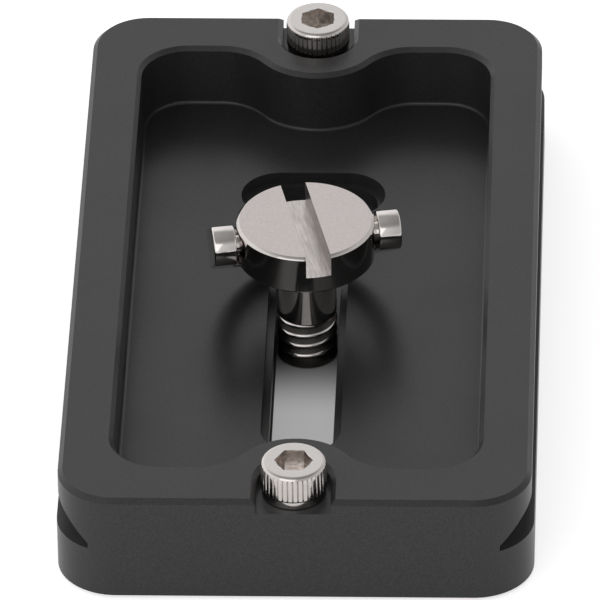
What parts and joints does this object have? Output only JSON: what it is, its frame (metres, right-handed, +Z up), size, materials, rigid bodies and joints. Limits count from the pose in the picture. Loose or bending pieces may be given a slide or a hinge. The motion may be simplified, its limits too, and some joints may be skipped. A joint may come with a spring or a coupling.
{
  "type": "tripod quick release plate",
  "caption": "Flat dovetail camera plate with a pocketed underside, a coin-slotted camera screw with a folding D-ring in a long slot, and a socket-head stop screw at each end.",
  "frame": {"origin": "middle of the camera face, on the surface that the pad lies on", "axes": "+X across the dovetail, +Y along it towards the cross slot, +Z up out of the pocketed underside"},
  "size_m": [0.049, 0.09, 0.017],
  "materials": {
    "black_anodised": "black anodised, bead blasted",
    "black_rubber": "matte",
    "bright_nickel": "bright nickel plated, turned",
    "bright_ring": "bright plated",
    "satin_steel": "satin, knurled"
  },
  "bodies": {
    "plate": {"plate_body": "black_anodised", "anti_slip_pad": "black_rubber", "stop_screw_front": "satin_steel", "stop_screw_rear": "satin_steel"},
    "screw": {"camera_screw": "bright_nickel"},
    "ring": {"d_ring": "bright_ring"}
  },
  "joints": [
    {"name": "screw_slide", "type": "slide", "parent": "plate", "child": "screw", "axis": [0, 1, 0], "range_m": [-0.0188, 0.0206]},
    {"name": "ring_fold", "type": "hinge", "parent": "screw", "child": "ring", "pos_m": [0, -0.0009, 0.0147], "axis": [0.9833, 0.1822, 0], "range_deg": [0, 253]}
  ]
}
